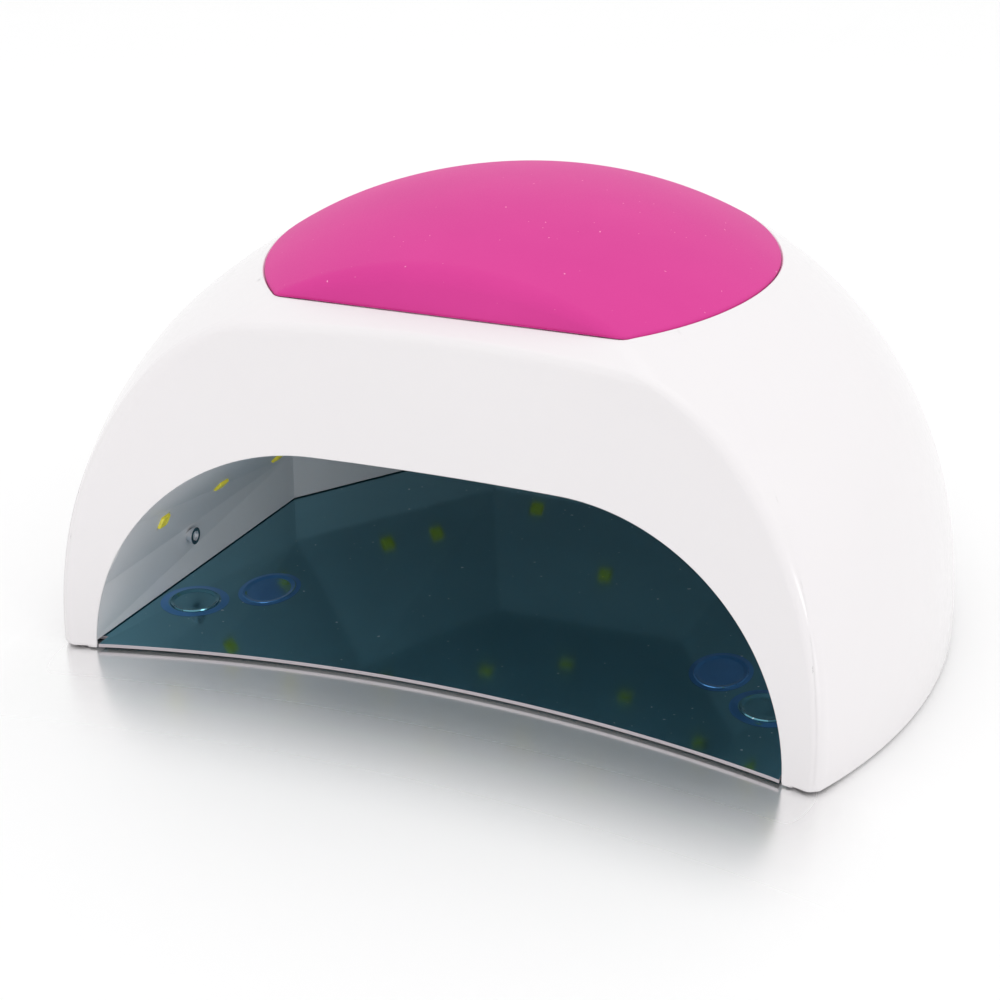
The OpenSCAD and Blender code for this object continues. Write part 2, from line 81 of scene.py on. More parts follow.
PAD_FRONT_Y = pad_lo.y
PAD_RIM_Z = 92.3 * MM
PAD_TILT = math.radians(1.25)
PAD_FOOT_Z = PAD_RIM_Z + (PAD_FRONT_Y - OVAL_Y) * math.tan(PAD_TILT)
LEDGE_SLOPE = math.atan2(PAD_FOOT_Z - LEDGE_Z, PAD_FRONT_Y - LEDGE_Y)
SHOULDER_CUT = 0.136
SHOULDER_LOW = 70 * MM
SHOULDER_HIGH = 91 * MM
SHOULDER_REACH = 0.169
SHOULDER_SOFT = 0.15
PAD_GAP = 0.45 * MM
PAD_LIP = 0.35 * MM
PAD_WALL = 1.9 * MM
PAD_ROUND = 1.1 * MM
PAD_SOFT = 2.4 * MM
PAD_CORNER = 44 * MM

FACET_TILT = math.radians(42)
FACET_PLACE = np.array([0, 67.1, 64.6]) * MM
FACET_OUT = np.array([0, math.cos(FACET_TILT), math.sin(FACET_TILT)])

CREASE_R = 2.0 * MM
LEDGE_R = 1.3 * MM
FACET_R = 3 * MM
EDGE_R = 0.4 * MM
LIP_T = 0.9 * MM
REBATE_W = 3.2 * MM
FOOT_R = 1.2 * MM
HEART = np.array([0, OVAL_Y, 20 * MM])
# Points nearer to each other than this are one point
WELD = 0.01 * MM

DISH_H = 0.35 * MM
DISH_LIFT = 0.02 * MM
# Width of a rim's rise and of its steep edge, and the shoulder's share of the rim's height
DISH_RISE = 1.3 * MM
DISH_EDGE = 0.12 * MM
DISH_SHOULDER = 0.35
DISH_TURNS = 96
# Each dish: place on the right side, radius of its rim and of its shoulder, height, stretch along Y
DISHES = [((75.6 * MM, -66 * MM), 6.3 * MM, 8.8 * MM, 0.5 * MM, 1.0),
          ((60.9 * MM, -52.8 * MM), 6.4 * MM, 7.6 * MM, 0.25 * MM, 1.3)]
# How far inside a dish's rim its blue tint begins, for a round and for a stretched dish
DISH_BLUE_FROM = (-0.4 * MM, 7 * MM)

# Width, height and corner radius of the panel's recess and of the hatch behind it
PANEL_RECESS = (52.3 * MM, 36.3 * MM, 8 * MM)
PANEL_HATCH = (46 * MM, 30 * MM, 5 * MM)
PANEL_DEPTH = 1.8 * MM
# How far the cutters reach past the facet, outward and inward
CLEAR_OUT, CLEAR_IN = 30 * MM, 20 * MM

INLET_R = 4.3 * MM
INLET_MOUTH_R = 5.6 * MM
# The inlet's cutter runs along Y from inside the wall to outside it, in millimetres
INLET_FROM, INLET_TO = 70, 120


# ---- Solids as distances: below zero inside, above zero outside --------------

def shoulder(x, y, z):
    """How far the front shoulders draw the dome in near its crown, as a part of its radius."""
    rise = np.clip((z - SHOULDER_LOW) / (SHOULDER_HIGH - SHOULDER_LOW), 0, 1)
    s = SHOULDER_REACH - y / np.maximum(np.hypot(x, y), 1e-9)
    return 1 - SHOULDER_CUT * rise ** 3 * (s + np.hypot(s, SHOULDER_SOFT)) / 2


def dome(p, side=0.0, top=0.0):
    """The dome, inset by one distance at the side and another at the crown."""
    a, b, h = HALF_W - side, OVAL_D - side, CROWN_Z - top - WAIST_Z
    x, y = p[..., 0] / a, (p[..., 1] - OVAL_Y) / b
    z = np.maximum(p[..., 2] - WAIST_Z, 0) / h
    rho = np.maximum(np.hypot(x, y), 1e-9) / shoulder(x, y, p[..., 2])
    steep = PROFILE_M * rho ** (PROFILE_M - 2)
    slope = np.sqrt((steep * x / a) ** 2 + (steep * y / b) ** 2
                    + (PROFILE_N * z ** (PROFILE_N - 1) / h) ** 2)
    return (rho ** PROFILE_M + z ** PROFILE_N - 1) / np.maximum(slope, 1e-6)


def front(p, back=0.0):
    """The hollow front face, which leans back."""
    y, z = p[..., 1] - FRONT_Y - back, p[..., 2]
    y = math.cos(FRONT_LEAN) * y - math.sin(FRONT_LEAN) * z
    return FRONT_R - np.hypot(p[..., 0], y + FRONT_R)


def ledge(p, down=0.0):
    """The slope between the front face and the pad."""
    y, z = p[..., 1] - LEDGE_Y, p[..., 2] - LEDGE_Z
    return math.cos(LEDGE_SLOPE) * z - math.sin(LEDGE_SLOPE) * y + down


def facet(p, down=0.0):
    """The flat at the back that carries the control panel."""
    return (p - FACET_PLACE) @ FACET_OUT + down


def rounded(a, b, r):
    """The part inside both, with a round edge of radius r."""
    both = np.minimum(-r, np.maximum(a, b))
    return both + np.hypot(np.maximum(a + r, 0), np.maximum(b + r, 0))


def outer_skin(p):
    body = rounded(dome(p), front(p), CREASE_R)
    body = rounded(body, np.where(p[..., 1] < PAD_FRONT_Y + 8 * MM, ledge(p), -1.0), LEDGE_R)
    return rounded(body, facet(p), FACET_R)


def inner_skin(p):
    body = rounded(dome(p, SHELL_T, SHELL_T + PAD_T), front(p, FRONT_T), CREASE_R)
    body = rounded(body, ledge(p, SHELL_T + 1 * MM), LEDGE_R)
    return rounded(body, facet(p, SHELL_T + 2 * MM), FACET_R)


def pad_seat(p):
    """What the pad rests on."""
    return rounded(dome(p, PAD_T, PAD_T), PAD_FRONT_Y + PAD_T - p[..., 1], 1 * MM)


def pad_skin(p):
    """The pad's outside: the crown of the dome with a cut front that fades out at its corners."""
    share = np.clip(1 - (p[..., 0] / PAD_CORNER) ** 2, 0, 1)
    soft = PAD_ROUND + PAD_SOFT * share
    return rounded(dome(p), PAD_FRONT_Y + PAD_GAP / 2 - p[..., 1], soft)


def onto(skin, points, heart=HEART, reach=0.2):
    """Moves points along rays from the heart of the lamp until they lie on the skin."""
    way = points - heart
    way /= np.linalg.norm(way, axis=-1, keepdims=True)
    low, high = np.zeros(points.shape[:-1]), np.full(points.shape[:-1], reach)
    for _ in range(40):
        middle = (low + high) / 2
        inside = skin(heart + way * middle[..., None]) < 0
        low, high = np.where(inside, middle, low), np.where(inside, high, middle)
    return heart + way * low[..., None]


def gradient(skin, points, step=0.02 * MM):
    """Unit outward normals of the skin at points."""
    n = np.stack([skin(points + step * e) - skin(points - step * e) for e in np.eye(3)], -1)
    return n / np.maximum(np.linalg.norm(n, axis=-1, keepdims=True), 1e-12)


# ---- Outlines ------------------------------------------------------------------

def even(points, count):
    """count points at even distances along a line of points."""
    run = np.concatenate([[0], np.cumsum(np.linalg.norm(np.diff(points, axis=0), axis=1))])
    at = np.linspace(0, run[-1], count)
    return np.stack([np.interp(at, run, points[:, k]) for k in range(3)], -1)


def front_y(x, z):
    """Where the front face is at x and z."""
    slope = z * math.tan(FRONT_LEAN)
    return FRONT_Y + slope + (np.sqrt(FRONT_R ** 2 - x ** 2) - FRONT_R) / math.cos(FRONT_LEAN)


def bisect(low, high, inside):
    """The largest value between low and high that is still inside."""
    for _ in range(50):
        middle = (low + high) / 2
        keep = inside(middle)
        low, high = np.where(keep, middle, low), np.where(keep, high, middle)
    return low


def on_front(x, z):
    return np.stack([x, front_y(x, z), z], -1)


def ledge_height(x):
    """Height at which the front face turns into the ledge at x."""
    return bisect(np.zeros_like(x), np.full_like(x, CROWN_Z), lambda z: ledge(on_front(x, z)) < 0)


def front_outline(foot_z, crease_count, ledge_count):
    """The front face's outer edge: up the right crease, along the ledge and down the left crease."""
    probe = np.linspace(0.02, HALF_W, 400)
    on_ledge = on_front(probe, ledge_height(probe))
    corner_x = probe[dome(on_ledge) < 0].max()
    corner_z = ledge_height(np.array([corner_x]))[0]
    z = np.linspace(foot_z, corner_z, 400)
    x = bisect(np.zeros_like(z), np.full_like(z, HALF_W), lambda v: dome(on_front(v, z)) < 0)
    crease = even(on_front(x, z), crease_count)
    x = np.linspace(crease[-1, 0], -crease[-1, 0], 200)
    top = even(on_front(x, ledge_height(x)), ledge_count)
    return np.concatenate([crease, top[1:-1], crease[::-1] * [-1, 1, 1]])


def arch_outline(foot_z, count, out=0.0):
    """The opening's edge on the front face, from the right foot over to the left foot."""
    r = ARCH_R + out
    a = np.linspace(math.asin(foot_z / r), math.pi / 2, 200)
    quarter = np.stack([ARCH_C + r * np.cos(a), np.zeros_like(a), r * np.sin(a)], -1)
    line = even(np.concatenate([quarter, quarter[::-1] * [-1, 1, 1]]), count)
    return on_front(line[:, 0], line[:, 2])


def arch_outward(p):
    """Unit directions in the face, away from the opening."""
    side = np.sign(p[:, 0]) * np.maximum(np.abs(p[:, 0]) - ARCH_C, 0)
    way = np.stack([side, np.zeros_like(side), p[:, 2]], -1)
    return way / np.linalg.norm(way, axis=1, keepdims=True)


def rim_plane(y):
    """Height of the plane that the pad's edge lies in."""
    return PAD_RIM_Z + (y - OVAL_Y) * math.tan(PAD_TILT)


def pad_outline(angles):
    """The pad's edge, for plan angles about the dome's axis."""
    way = np.stack([np.cos(angles), np.sin(angles)], -1)

    def at(r):
        x, y = r * way[:, 0], r * way[:, 1] + OVAL_Y
        return np.stack([x, y, rim_plane(y)], -1)

    reach = bisect(np.zeros_like(angles), np.full_like(angles, HALF_W), lambda r: dome(at(r)) < 0)
    ahead = np.where(way[:, 1] < 0, (OVAL_Y - PAD_FRONT_Y) / np.maximum(-way[:, 1], 1e-9), 1.0)
    blend = 2 * MM
    near = np.maximum(blend - np.abs(reach - ahead), 0) / blend
    return at(np.minimum(reach, ahead) - near * near * blend / 4)


# ---- Meshes ----------------------------------------------------------------------

class Build:
    """Collects rows of points into one mesh."""

    def __init__(self):
        self.points, self.faces, self.count = [], [], 0

    def grid(self, rows, closed=False):
        """Quads between rows of equally many points."""
        n, start = len(rows[0]), self.count
        self.points.extend(np.asarray(r, float) for r in rows)
        self.count += n * len(rows)
        across = n if closed else n - 1
        for i in range(len(rows) - 1):
            a, b = start + i * n, start + (i + 1) * n
            self.faces.extend((a + j, a + (j + 1) % n, b + (j + 1) % n, b + j) for j in range(across))

    def cap(self, row, length):
        """One face over the row whose first point has this number."""
        self.faces.append(tuple(range(row, row + length)))

    def mesh(self, name):
        mesh = bpy.data.meshes.new(name)
        mesh.from_pydata(np.concatenate(self.points).tolist(), [], self.faces)
        return mesh

    def object_plain(self, name):
        """The mesh as it was built, with its faces in order."""
        return place(self.mesh(name), name)

    def object(self, name):
        """The mesh with its equal points joined and its faces turned outward."""
        mesh = self.mesh(name)
        work = bmesh.new()
        work.from_mesh(mesh)
        bmesh.ops.remove_doubles(work, verts=work.verts, dist=WELD)
        bmesh.ops.dissolve_degenerate(work, edges=work.edges, dist=WELD / 4)
        bmesh.ops.recalc_face_normals(work, faces=work.faces)
        work.to_mesh(mesh)
        work.free()
        return place(mesh, name)


def place(mesh, name):
    piece = bpy.data.objects.new(name, mesh)
    bpy.context.scene.collection.objects.link(piece)
    return piece


def smooth(piece, angle=35):
    """Smooth shading, with sharp edges past the angle."""
    piece.data.polygons.foreach_set("use_smooth", [True] * len(piece.data.polygons))
    piece.data.set_sharp_from_angle(angle=math.radians(angle))


def fair(piece, skin, reach=0.03 * MM):
    """Gives the corners that lie on the skin the skin's own normals."""
    mesh = piece.data
    at = np.zeros(len(mesh.vertices) * 3)
    mesh.vertices.foreach_get("co", at)
    at = at.reshape(-1, 3)
    true = gradient(skin, at)
    on_skin = np.abs(skin(at)) < reach
    corner = np.zeros(len(mesh.loops) * 3)
    mesh.corner_normals.foreach_get("vector", corner)
    corner = corner.reshape(-1, 3)
    vertex = np.zeros(len(mesh.loops), int)
    mesh.loops.foreach_get("vertex_index", vertex)
    take = on_skin[vertex] & (np.sum(corner * true[vertex], axis=1) > 0.8)
    corner[take] = true[vertex][take]
    mesh.normals_split_custom_set(corner.tolist())


def across(a, b, fractions):
    """Rows of points between two rows."""
    return [a + (b - a) * f for f in fractions]


def lip_rows(a, b, down, steps=5):
    """Rows from a round an edge that bulges along down, and back to b."""
    apart = np.linalg.norm(b - a, axis=1, keepdims=True)
    deep = np.minimum(np.linalg.norm(down, axis=1, keepdims=True), 0.45 * apart)
    way = (b - a) / apart
    turn = np.linspace(0, math.pi / 2, steps)
    rows = [a + way * deep * (1 - math.cos(t)) + down * math.sin(t) for t in turn]
    return rows + [b - way * deep * (1 - math.cos(t)) + down * math.sin(t) for t in turn[::-1]]


def elevation(points):
    """Angle above the horizon, seen from the heart of the lamp."""
    way = points - HEART
    return np.arctan2(way[..., 2], np.hypot(way[..., 0], way[..., 1]))


def column(phi, psi):
    """Points one metre from the heart at plan angle phi and elevation psi."""
    flat = np.cos(psi)
    return HEART + np.stack([np.cos(phi) * flat, np.sin(phi) * flat, np.sin(psi)], -1)


def rising_rows(skin, phi, low, high, count):
    """Rows on the skin from elevation low to high, closer together at the low end."""
    power = np.clip(math.log(FIRST_ROW / ROWS_LENGTH) / math.log(1 / count), 1, 2)
    steps = [(i / count) ** power for i in range(count + 1)]
    return [onto(skin, column(phi, low + (high - low) * f)) for f in steps]


# ---- Shell ------------------------------------------------------------------------

FOOT_Z = RIM_Z + FOOT_R
CREASE_COUNT, LEDGE_COUNT, BACK_COUNT = 80, 70, 300
PATCH_STEPS = [(i / 16) ** 1.5 for i in range(17)]
OUTER_ROWS, INNER_ROWS = 72, 20
# Height of the lowest row of the dome's side and length of a column of rows
FIRST_ROW, ROWS_LENGTH = 0.7 * MM, 90 * MM


def rim_loop():
    """The lower edge of the dome's side: the front outline, then round the back."""
    ahead = front_outline(FOOT_Z, CREASE_COUNT, LEDGE_COUNT)
    start = math.atan2((ahead[0, 1] - OVAL_Y) / OVAL_D, ahead[0, 0] / HALF_W)
    a = np.linspace(math.pi - start, start, BACK_COUNT)[1:-1]
    back = np.stack([HALF_W * np.cos(a), OVAL_D * np.sin(a) + OVAL_Y, np.full_like(a, FOOT_Z)], -1)
    return ahead, np.concatenate([ahead, back])


def foot_edge(front_rows, back_rows, k):
    """Pairs of points from the dome's side to the opening, along the bottom of one foot."""
    a, b = np.stack([r[k] for r in front_rows]), np.stack([r[k] for r in back_rows])
    down = np.zeros_like(a)
    down[:, 2] = RIM_Z - a[:, 2]
    return a, b, down


def foot_corner(a, b, down, inward, steps=5):
    """Pairs that turn the rounding of the foot into the rounding of the opening."""
    turn = np.linspace(0, math.pi / 2, steps + 2)[1:-1, None]
    sweep = down * np.cos(turn) + inward * np.sin(turn)
    return np.repeat(a[None], steps, 0), np.repeat(b[None], steps, 0), sweep


def edge_loop(loop_rows, inner_rows, front_rows, back_rows, arch):
    """All pairs along the edge that joins the outside to the inside, in order, as one closed loop."""
    inward = -arch_outward(arch) * EDGE_R
    right = foot_edge(front_rows, back_rows, 0)
    left = [v[::-1] for v in foot_edge(front_rows, back_rows, -1)]
    turn_in = foot_corner(right[0][-1], right[1][-1], right[2][-1], inward[0])
    turn_out = [v[::-1] for v in foot_corner(left[0][0], left[1][0], left[2][0], inward[-1])]
    span = len(arch)
    back, inner_back = loop_rows[0][span:], inner_rows[0][span:]
    down = np.zeros_like(back)
    down[:, 2] = RIM_Z - back[:, 2]
    parts = [right, turn_in, (front_rows[-1], back_rows[-1], inward), turn_out, left,
             (back, inner_back, down)]
    return [np.concatenate([part[k] for part in parts]) for k in range(3)]


def toward_crown(line, normal):
    """Unit directions in the surface, across a closed line and towards the crown."""
    along = np.roll(line, -1, 0) - np.roll(line, 1, 0)
    side = np.cross(normal, along)
    side /= np.linalg.norm(side, axis=1, keepdims=True)
    crown = np.array([0, OVAL_Y, CROWN_Z])
    flip = np.sum(side * (crown - line), axis=1, keepdims=True) < 0
    return np.where(flip, -side, side)


def seat_rows(skin, edge, count=14):
    """Rows from an edge up to the crown on the skin."""
    crown = np.array([0, OVAL_Y, CROWN_Z])
    return [onto(skin, edge + (crown - edge) * (i / count)) for i in range(1, count + 1)]


def shell_body():
    """The shell's mesh, before the cuts at the back."""
    ahead, loop = rim_loop()
    phi = np.arctan2(loop[:, 1] - OVAL_Y, loop[:, 0])
    rim = pad_outline(phi)
    low = elevation(loop)
    outer = rising_rows(outer_skin, phi, low, elevation(rim), OUTER_ROWS)
    inner = rising_rows(inner_skin, phi, low, np.full_like(low, math.pi / 2), INNER_ROWS)
    arch = arch_outline(FOOT_Z, len(ahead), EDGE_R)
    front_rows = [onto(outer_skin, r) for r in across(ahead, arch, PATCH_STEPS)]
    back_rows = wall_back(onto(inner_skin, ahead), arch)
    build = Build()
    build.grid(outer, closed=True)
    build.grid(inner, closed=True)
    build.grid(front_rows)
    build.grid(back_rows)
    build.grid(lip_rows(*edge_loop(outer, inner, front_rows, back_rows, arch)), closed=True)
    build.grid(recess_rows(outer[-1]), closed=True)
    return build.object("shell_body")


def wall_back(crease, arch):
    """Rows behind the front face: from its inner crease to the rebate, and out over the lip."""
    step = arch_outline(FOOT_Z, len(arch), REBATE_W)
    depth = np.array([0, 1, 0])
    rows = [crease]
    for row in across(crease, step, np.linspace(0, 1, len(PATCH_STEPS) - 2)[1:]):
        rows.append(on_front(row[:, 0], row[:, 2]) + depth * FRONT_T)
    return rows + [step + depth * LIP_T, arch + depth * LIP_T]


def recess_rows(edge):
    """The pad's recess: a small round lip, a wall and the seat."""
    normal = gradient(outer_skin, edge)
    inward = toward_crown(edge, normal)
    turn = np.linspace(0, math.pi / 2, 4)
    rows = [edge + inward * PAD_LIP * math.sin(t) - normal * PAD_LIP * (1 - math.cos(t)) for t in turn]
    wall = edge + inward * PAD_LIP - normal * PAD_WALL
    return rows + [wall] + seat_rows(pad_seat, wall)


def cut(piece, cutter):
    """Takes the cutter's solid out of the piece."""
    modifier = piece.modifiers.new("cut", "BOOLEAN")
    modifier.operation = "DIFFERENCE"
    modifier.solver = "EXACT"
    modifier.object = cutter
    graph = bpy.context.evaluated_depsgraph_get()
    mesh = bpy.data.meshes.new_from_object(piece.evaluated_get(graph))
    piece.modifiers.clear()
    piece.data = mesh
    bpy.data.objects.remove(cutter)


def rounded_rectangle(width, depth, radius, steps=12):
    """Outline of a rectangle with round corners."""
    line = []
    for k, (sx, sy) in enumerate([(1, 1), (-1, 1), (-1, -1), (1, -1)]):
        for a in np.linspace(0, math.pi / 2, steps) + k * math.pi / 2:
            x = sx * (width / 2 - radius) + radius * math.cos(a)
            y = sy * (depth / 2 - radius) + radius * math.sin(a)
            line.append((x, y, 0))
    return np.array(line)


def prism(name, outline, low, high):
    """A solid between two heights over a closed outline."""
    build = Build()
    middle = np.broadcast_to(outline.mean(0), outline.shape)
    rows = [middle + [0, 0, low], outline + [0, 0, low], outline + [0, 0, high], middle + [0, 0, high]]
    build.grid(rows, closed=True)
    return build.object(name)


def on_facet(points):
    """From facet coordinates, x to the left seen from behind and y up the slope, to the lamp's."""
    up = np.array([0, -math.sin(FACET_TILT), math.cos(FACET_TILT)])
    return FACET_PLACE + np.stack([-points[:, 0], 0 * points[:, 0], 0 * points[:, 0]], -1) \
        + points[:, 1:2] * up + points[:, 2:3] * FACET_OUT


def facet_prism(name, outline, low, high):
    """A prism that stands on the facet."""
    solid = prism(name, outline, low, high)
    at = np.array([v.co for v in solid.data.vertices])
    for vertex, co in zip(solid.data.vertices, on_facet(at)):
        vertex.co = co
    return solid


def inlet_cutter():
    """A round hole along Y through the back wall."""
    jack_lo, jack_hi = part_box("dc_jack")
    a = np.linspace(0, 2 * math.pi, 48, endpoint=False)
    ring = np.stack([np.cos(a), 0 * a, np.sin(a)], -1)
    middle = np.array([0, 0, (jack_lo.z + jack_hi.z) / 2])
    build = Build()
    mouth = jack_hi.y / MM
    stops = [(0, INLET_FROM), (INLET_R, INLET_FROM), (INLET_R, mouth), (INLET_MOUTH_R, mouth),
             (INLET_MOUTH_R, INLET_TO), (0, INLET_TO)]
    build.grid([middle + ring * r + [0, y * MM, 0] for r, y in stops], closed=True)
    return build.object("inlet_cutter")


def make_shell():
    """The white shell, cut out for the panel, the hatch and the inlet."""
    shell = shell_body()
    cut(shell, facet_prism("panel_cutter", rounded_rectangle(*PANEL_RECESS), -PANEL_DEPTH, CLEAR_OUT))
    cut(shell, facet_prism("hatch_cutter", rounded_rectangle(*PANEL_HATCH), -CLEAR_IN, CLEAR_IN))
    cut(shell, inlet_cutter())
    smooth(shell)
    fair(shell, outer_skin)
    shell.name = "shell"
    shell.data.materials.append(white_plastic())
    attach(shell, HEAD)
    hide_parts("outer_shell")
    return shell


# ---- Pad --------------------------------------------------------------------------

def make_pad():
    """The silicone pad: its top, a round rim, a wall and its underside."""
    corner = 2 * MM
    a = np.linspace(0, 2 * math.pi, 361)[:-1]
    edge = pad_outline(a)
    normal = gradient(pad_skin, edge)
    inward = toward_crown(edge, normal)
    ahead = np.clip((PAD_FRONT_Y + corner - edge[:, 1:2]) / corner, 0, 1)
    gap = PAD_GAP * (1 - 0.6 * ahead)
    soft = PAD_ROUND * (1 - 0.5 * ahead)
    crown = np.array([0, OVAL_Y, CROWN_Z])
    top = onto(pad_skin, edge + inward * (gap + soft))
    steps = [(i / 70) ** 1.3 for i in range(1, 71)]
    rows = [onto(pad_skin, top + (crown - top) * f) for f in steps[::-1]] + [top]
    turn = np.linspace(0, math.pi / 2, 7)[1:]
    shape = [(gap + soft * (1 - math.sin(t)), soft * (1 - math.cos(t))) for t in turn]
    rows += [edge + inward * along - normal * deep for along, deep in shape]
    wall = edge + inward * gap - normal * (PAD_WALL - 0.3 * MM)
    rows += [wall] + seat_rows(lambda p: pad_seat(p) - 0.2 * MM, wall)
    build = Build()
    build.grid(rows, closed=True)
    pad = build.object("pad")
    smooth(pad, 50)
    fair(pad, pad_skin)
    pad.data.materials.append(pink_silicone())
    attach(pad, HEAD)
    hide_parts("silicone_pad")
    return pad


# ---- Tray --------------------------------------------------------------------------

TRAY_HALF = 86 * MM
TRAY_Y = -83.8 * MM
TRAY_R = 322 * MM
FLANGE_Y = FRONT_Y + 4.5 * MM
PLATE_INSET = 4.1 * MM
PLATE_BEVEL = 0.12 * MM


def circle_y(x, y, r):
    """Front edge of the plate at x, on a circle of radius r whose middle is at y."""
    return y - r + np.sqrt(r ** 2 - x ** 2)


def plate_outline():
    """The plate's edge: the hollow front of the tray, the flange and the oval at the back."""
    a, b = HALF_W - PLATE_INSET, OVAL_D - PLATE_INSET
    x = np.linspace(TRAY_HALF, a, 2000)
    behind = OVAL_Y - b * np.sqrt(np.maximum(1 - (x / a) ** 2, 0)) < circle_y(x, FLANGE_Y, FRONT_R)
    end = x[behind].max()
    flange_x = np.linspace(TRAY_HALF, end, 6)
    flange = np.stack([flange_x, circle_y(flange_x, FLANGE_Y, FRONT_R)], -1)
    tray_x = np.linspace(-TRAY_HALF, TRAY_HALF, 81)
    tray = np.stack([tray_x, circle_y(tray_x, TRAY_Y, TRAY_R)], -1)
    start = math.atan2((flange[-1, 1] - OVAL_Y) / b, flange[-1, 0] / a)
    turn = np.linspace(start, math.pi - start, 200)[1:-1]
    oval = np.stack([a * np.cos(turn), b * np.sin(turn) + OVAL_Y], -1)
    return np.concatenate([tray, flange, oval, flange[::-1] * [-1, 1]])


def shrink(outline, by):
    """A closed outline moved inward."""
    along = np.roll(outline, -1, 0) - np.roll(outline, 1, 0)
    normal = np.stack([-along[:, 1], along[:, 0]], -1)
    return outline + by * normal / np.linalg.norm(normal, axis=1, keepdims=True)


def at_height(outline, z):
    return np.concatenate([outline, np.full((len(outline), 1), z)], axis=1)


def dish_height(r, rim, shoulder, height):
    """Height of a pressed dish at radius r: a flat bottom, a round rim with a steep edge and a shoulder."""
    inside = np.clip((r - rim + DISH_RISE) / DISH_RISE, 0, 1)
    outside = np.clip((shoulder - r) / (shoulder - rim), 0, 1)
    rise = height * (3 * inside ** 2 - 2 * inside ** 3)
    fall = DISH_SHOULDER * height * (3 * outside ** 2 - 2 * outside ** 3)
    return np.where(r <= rim, rise, fall)


def add_dish(build, place_at, rim, shoulder, height, stretch):
    """A dish as a sheet over the plate's top; gives its first face's number and its rings' radii."""
    turn = np.linspace(0, 2 * math.pi, DISH_TURNS + 1)[:-1]
    radii = np.concatenate([[0, rim / 2], np.linspace(rim - DISH_RISE, rim, 12),
                            np.linspace(rim + DISH_EDGE, shoulder, 14)])
    rows = []
    for r in radii:
        z = plate_hi.z - DISH_H + DISH_LIFT + dish_height(r, rim, shoulder, height)
        x, y = place_at[0] + r * np.cos(turn), place_at[1] + r * stretch * np.sin(turn)
        rows.append(np.stack([x, y, np.full_like(x, z)], -1))
    first = len(build.faces)
    build.grid(rows, closed=True)
    return first, radii


def make_plate():
    """The mirror base plate with its pressed dishes and its bright cut edge."""
    outline = plate_outline()
    top, low = plate_hi.z - DISH_H, plate_lo.z
    inner = shrink(outline, PLATE_BEVEL)
    build = Build()
    build.grid([at_height(inner, low), at_height(outline, low + PLATE_BEVEL),
                at_height(outline, top - PLATE_BEVEL), at_height(inner, top)], closed=True)
    edge_faces = len(build.faces)
    n = len(outline)
    build.cap(0, n)
    build.cap(3 * n, n)
    blue = []
    for side in (-1, 1):
        for (x, y), rim, shoulder, height, stretch in DISHES:
            face, radii = add_dish(build, (side * x, y), rim, shoulder, height, stretch)
            for r in radii[:-1]:
                if r >= rim - DISH_BLUE_FROM[stretch > 1]:
                    blue.extend(range(face, face + DISH_TURNS))
                face += DISH_TURNS
    plate = build.object_plain("plate")
    smooth(plate, 30)
    for material in (tray_mirror(), cut_edge(), dish_blue()):
        plate.data.materials.append(material)
    index = np.zeros(len(plate.data.polygons), int)
    index[:edge_faces] = 1
    index[blue] = 2
    plate.data.polygons.foreach_set("material_index", index.tolist())
    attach(plate, TRAY)
    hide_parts("base_plate")


# ---- LEDs --------------------------------------------------------------------------

def islands(mesh):
    """The separate solids of a mesh in the order of their faces, each as a list of faces."""
    work = bmesh.new()
    work.from_mesh(mesh)
    bmesh.ops.remove_doubles(work, verts=work.verts, dist=0.001 * MM)
    seen = set()
    found = []
    for start in work.faces:
        if start in seen:
            continue
        seen.add(start)
        stack, group = [start], []
        while stack:
            face = stack.pop()
            group.append((np.array(face.calc_center_median()), np.array(face.normal), face.calc_area(),
                          [np.array(v.co) for v in face.verts]))
            for edge in face.edges:
                for other in edge.link_faces:
                    if other not in seen:
                        seen.add(other)
                        stack.append(other)
        found.append(group)
    work.free()
    return found


def led_axes(group):
    """Middle of an LED's front, its outward direction and its two sides."""
    heart = np.array([0, -30, 20]) * MM
    corners = np.array([c for _, _, _, verts in group for c in verts])
    middle = (corners.max(0) + corners.min(0)) / 2
    sums = []
    for _, normal, area, _ in group:
        for entry in sums:
            if abs(entry[0] @ normal) > 0.99:
                entry[1] += area
                break
        else:
            sums.append([normal, area])
    sums.sort(key=lambda entry: -entry[1])
    out = sums[0][0]
    out = out if out @ (heart - middle) > 0 else -out
    side = sums[1][0]
    front_at = max((c - middle) @ out for c in corners)
    return middle + out * front_at, out, side, np.cross(out, side)


# An LED's half width and depth, its bevel's width and depth, and the rise and fall of its gel
LED_HALF, LED_DEEP = 1.8 * MM, 2.2 * MM
LED_BEVEL, LED_BEVEL_DEEP, LED_GEL = 0.2 * MM, 0.25 * MM, 0.12 * MM
# How far in from its edge an LED's rim ends, its well lies and its gel comes level
LED_RIM, LED_WELL, LED_LEVEL = 0.55 * MM, 0.65 * MM, 1.2 * MM


def make_leds():
    """Each LED is a square package with bevelled edges round a gel-filled well, open at the back."""
    half = LED_HALF
    shape = [(half, -LED_DEEP), (half, -LED_BEVEL_DEEP), (half - LED_BEVEL, 0), (half - LED_RIM, 0),
             (half - LED_WELL, -LED_GEL), (half - LED_LEVEL, 0), (0, LED_GEL)]
    turn = np.linspace(0, 2 * math.pi, 33)[:-1]
    square = np.stack([np.cos(turn), np.sin(turn)], -1)
    square /= (np.abs(square) ** 8).sum(1, keepdims=True) ** (1 / 8)
    build = Build()
    for group in islands(frame["nodes"]["led_emitters"].data):
        front_at, out, side, up = led_axes(group)
        rows = [front_at + r * (square[:, :1] * side + square[:, 1:] * up) + h * out for r, h in shape]
        build.grid(rows, closed=True)
    leds = build.object("leds")
    smooth(leds, 40)
    leds.data.materials.append(phosphor_painted_glow())
    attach(leds, HEAD)
    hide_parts("led_emitters")


# ---- Materials ---------------------------------------------------------------------

